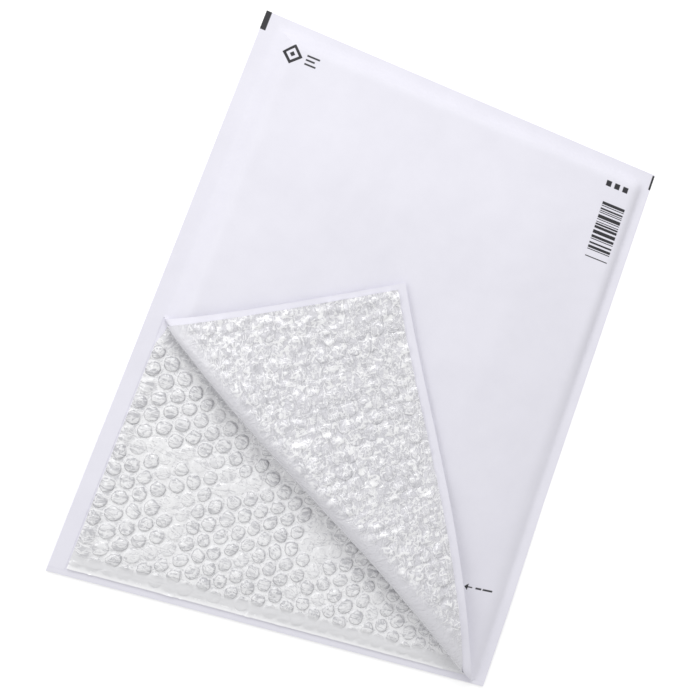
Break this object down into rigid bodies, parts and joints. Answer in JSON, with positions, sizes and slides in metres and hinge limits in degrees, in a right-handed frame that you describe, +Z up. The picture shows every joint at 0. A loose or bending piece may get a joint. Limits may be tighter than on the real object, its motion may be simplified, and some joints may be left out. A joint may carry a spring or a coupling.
{
  "type": "padded envelope",
  "caption": "White paper mailing envelope lined with bubble film, one seam torn open at the mouth and the corner of its front turned back",
  "frame": {"origin": "centre of the bounding box in plan, on the table under the back panel", "axes": "+Y from the mouth to the closed end, along the length; +X across the width; +Z up, out of the front panel"},
  "size_m": [0.29, 0.37, 0.0341],
  "materials": {
    "white_paper": "matte",
    "clear_bubble_film": "glossy",
    "hot_melt": "satin",
    "release_paper": "satin"
  },
  "bodies": {
    "root": {"paper_envelope": "white_paper", "bubble_lining": "clear_bubble_film", "flap_adhesive": "hot_melt", "release_liner": "release_paper"}
  },
  "joints": []
}
